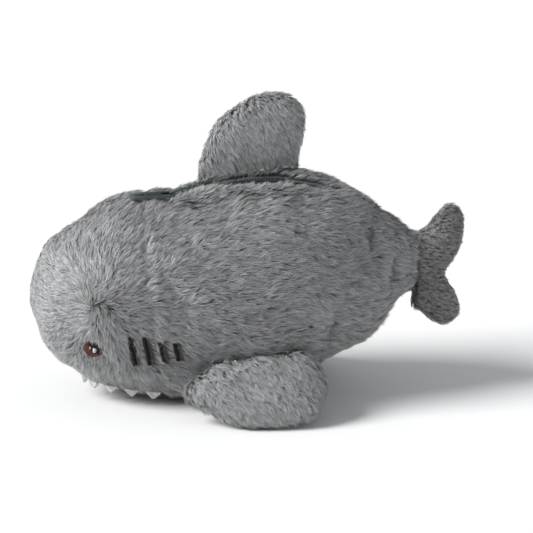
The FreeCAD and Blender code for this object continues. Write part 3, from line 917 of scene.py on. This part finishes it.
def satin(name, node, lean, pitch, rise, material):
    """Satin stitches that fill the outline of a CAD patch of embroidery."""
    tree = tree_of(node)
    points, faces, tones = [], [], []
    for patch in separate_patches(node):
        centre, normal, along, across = patch_frame(patch, lean)
        reach = np.linalg.norm(patch.max(0) - patch.min(0)) / 2.0 + pitch
        for row in np.arange(-reach, reach, pitch):
            for start, end in runs_across(tree, centre + along * row, normal, across, reach):
                if end - start < pitch:
                    continue
                wander = random.normal(0.0, 0.09 * MM, 4)
                first = centre + along * (row + wander[0]) + across * (start + wander[1])
                second = centre + along * (row + wander[2]) + across * (end + wander[3])
                more, quads = thread(first, second, along, pitch, rise)
                faces += [tuple(i + len(points) for i in quad) for quad in quads]
                points += more
                tones += [random.random()] * len(more)
    obj = mesh_object(name, points, faces, material)
    tone = np.ones((len(points), 4), np.float32)
    tone[:, 1] = tones
    obj.data.attributes.new("strand", "FLOAT_COLOR", "POINT").data.foreach_set("color", tone.ravel())
    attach(obj, BODY)
    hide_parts(node)


def build_embroidery():
    """The eyes, laid down in three layers, and the four gill bars on each side."""
    for side in ("left", "right"):
        lean = math.radians(11.0 if side == "left" else -11.0)
        satin("gill_threads_" + side, "gill_stitches_" + side, lean, 0.42 * MM, 1.5 * MM,
              BLACK_THREAD)
        satin("eye_iris_threads_" + side, "eye_iris_" + side, 0.9, 0.40 * MM, 0.7 * MM,
              BROWN_THREAD)
        satin("eye_pupil_threads_" + side, "eye_pupil_" + side, -0.6, 0.40 * MM, 1.2 * MM,
              BLACK_THREAD)
        satin("eye_highlight_threads_" + side, "eye_highlight_" + side, 0.2, 0.36 * MM,
              1.7 * MM, WHITE_THREAD)


# ---- Teeth ---------------------------------------------------------------------------
def build_teeth():
    """Felt teeth with soft edges and a fine fuzz."""
    for side in ("left", "right"):
        node = "teeth_" + side
        felt = voxel_form("felt_teeth_" + side, (node,), 0.35 * MM, FELT)
        soften = felt.modifiers.new("soften", "SMOOTH")
        soften.iterations = 8
        apply_modifiers(felt)
        points, normals, triangles = mesh_arrays(felt)
        points = points + normals * (0.16 * MM * lumps(points, 0.0022, 5))[:, None]
        felt.data.vertices.foreach_set("co", points.ravel())
        felt.data.update()
        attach(felt, BODY)
        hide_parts(node)
        count = int(surface_area(points, triangles) * 9.0 / MM ** 2)
        place, normal = scatter(points, normals, triangles, count)
        fuzz = grow("felt_fuzz_" + side, place, normal, random.normal(0.0, 1.0, (count, 3)),
                    np.full(count, 1.3 * MM), FELT_FUZZ, lift=(65.0, 30.0), width=0.16 * MM)
        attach(fuzz, BODY)


# ---- Zip -----------------------------------------------------------------------------
COIL_PITCH = 1.35 * MM
COIL_POINTS = 12             # points in one turn
COIL_HOOK = 0.35 * MM        # how far each coil reaches past the zip's middle
COIL_RISE = 0.5 * MM
FILAMENT = 0.34 * MM         # the filament's radius
SEAM_ACROSS = 4.3 * MM       # from the zip's middle to each row of stitches


def coil(side_name, side):
    """One half of the zip: a flattened nylon spiral that hooks over its partner."""
    node = "zip_coil_" + side_name
    across, radius, angle = zip_coords(np.array(node_mesh(node)[0]))
    outer, middle = np.abs(across).max(), (radius.min() + radius.max()) / 2.0 - ZIP_RADIUS
    turns = int((angle.max() - angle.min()) * ZIP_RADIUS / COIL_PITCH) - 1
    start = angle.min() + (0.75 if side > 0 else 0.25) * COIL_PITCH / ZIP_RADIUS
    inner = -COIL_HOOK
    curve = bpy.data.curves.new("coil_" + side_name, "CURVE")
    curve.dimensions = "3D"
    curve.bevel_depth = FILAMENT
    curve.bevel_resolution = 1
    spline = curve.splines.new("POLY")
    steps = turns * COIL_POINTS
    spline.points.add(steps)
    for k in range(steps + 1):
        turn = 2.0 * math.pi * k / COIL_POINTS
        reach = (outer + inner) / 2.0 - (outer - inner) / 2.0 * math.cos(turn)
        point = zip_point(side * reach, middle + COIL_RISE * math.sin(turn),
                          start + k * COIL_PITCH / COIL_POINTS / ZIP_RADIUS)
        spline.points[k].co = (*point, 1.0)
    shape = bpy.data.objects.new("coil_shape", curve)
    bpy.context.scene.collection.objects.link(shape)
    graph = bpy.context.evaluated_depsgraph_get()
    mesh = bpy.data.meshes.new_from_object(shape.evaluated_get(graph))
    bpy.data.objects.remove(shape)
    mesh.polygons.foreach_set("use_smooth", [True] * len(mesh.polygons))
    mesh.materials.clear()
    mesh.materials.append(NYLON)
    obj = bpy.data.objects.new("nylon_coil_" + side_name, mesh)
    bpy.context.scene.collection.objects.link(obj)
    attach(obj, BODY)
    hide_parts(node)


def seam_row(side_name, side):
    """Stitches that hold the tape to the body, one row along its outer edge."""
    points, faces = [], []
    pitch, length, half = 2.6 * MM, 1.8 * MM, 0.2 * MM
    count = int((ZIP_END - ZIP_START) * ZIP_RADIUS / pitch) - 2
    for k in range(count):
        middle = ZIP_START + (k + 1.5) * pitch / ZIP_RADIUS
        for t in np.linspace(-1.0, 1.0, 5):
            height = 0.32 * MM + 0.22 * MM * (1.0 - t * t)
            angle = middle + t * length / 2.0 / ZIP_RADIUS
            points += [zip_point(side * (SEAM_ACROSS + c * half), height - abs(c) * 0.12 * MM,
                                 angle) for c in (-1.0, 0.0, 1.0)]
        base = k * 15
        corners = [base + 3 * r + c for r in range(4) for c in range(2)]
        faces += [(i, i + 3, i + 4, i + 1) for i in corners]
    obj = mesh_object("tape_stitches_" + side_name, points, faces, BLACK_THREAD)
    thicken = obj.modifiers.new("thicken", "SOLIDIFY")
    thicken.thickness = 0.15 * MM
    apply_modifiers(obj)
    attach(obj, BODY)


def finish_nodes():
    """Materials for the CAD pieces that stay as they are."""
    for nodes, material in ((("zip_tape_left", "zip_tape_right"), TAPE_WEAVE),
                            (("lining_pocket",), LINING_WEAVE),
                            (("slider_body", "slider_bridge", "pull_tab",
                              "zip_stop_front", "zip_stop_rear"), LACQUER)):
        for node in nodes:
            mesh = frame["nodes"][node]
            mesh.data.materials.clear()
            mesh.data.materials.append(material)


def build_zip():
    """The coils, the stitches that hold the tapes, and the finish of the CAD pieces."""
    for side_name, side in (("left", -1), ("right", 1)):
        coil(side_name, side)
        seam_row(side_name, side)
    finish_nodes()


# ---- Stage ------------------------------------------------------------------------
def build_stage():
    """A pale floor and soft studio light."""
    material, tree, shader = new_material("floor_paint")
    tone = ramp_node(tree, noise_node(tree, 6.0), [(0.0, grey(0.83)), (1.0, grey(0.87))])
    tree.links.new(tone, shader.inputs["Base Color"])
    shader.inputs["Roughness"].default_value = 0.8
    floor = mesh_object("floor", [(-4, -4, 0), (4, -4, 0), (4, 4, 0), (-4, 4, 0)],
                        [(0, 1, 2, 3)], material)
    world = bpy.data.worlds.new("studio")
    world.use_nodes = True
    world.node_tree.nodes["Background"].inputs["Color"].default_value = (0.96, 0.98, 1.0, 1.0)
    world.node_tree.nodes["Background"].inputs["Strength"].default_value = 0.44
    bpy.context.scene.world = world
    light = bpy.data.lights.new("soft_key", "SUN")
    light.energy = 4.3
    light.angle = math.radians(30.0)
    key = bpy.data.objects.new("soft_key", light)
    key.rotation_euler = Vector((0.84, 0.32, -0.68)).to_track_quat("-Z", "Y").to_euler()
    bpy.context.scene.collection.objects.link(key)


CAMERA_RISE = math.radians(15.0)
CAMERA_DISTANCE = 1.6
VIEW_WIDTH = 0.2665
VIEW_CENTRE = Vector((0.00925, 0.0, 0.066))


def build_camera():
    """A long lens, level with the left flank and a little above it."""
    camera = bpy.data.cameras.new("camera")
    camera.sensor_width = 36.0
    camera.lens = 36.0 * CAMERA_DISTANCE / VIEW_WIDTH
    obj = bpy.data.objects.new("camera", camera)
    way = Vector((0.0, -math.cos(CAMERA_RISE), math.sin(CAMERA_RISE)))
    obj.location = VIEW_CENTRE + way * CAMERA_DISTANCE
    obj.rotation_euler = (-way).to_track_quat("-Z", "Y").to_euler()
    bpy.context.scene.collection.objects.link(obj)
    bpy.context.scene.camera = obj
    bpy.context.scene.view_settings.view_transform = "Standard"


build_camera()
build_stage()
build_body()
build_fins()
build_embroidery()
build_teeth()
build_zip()
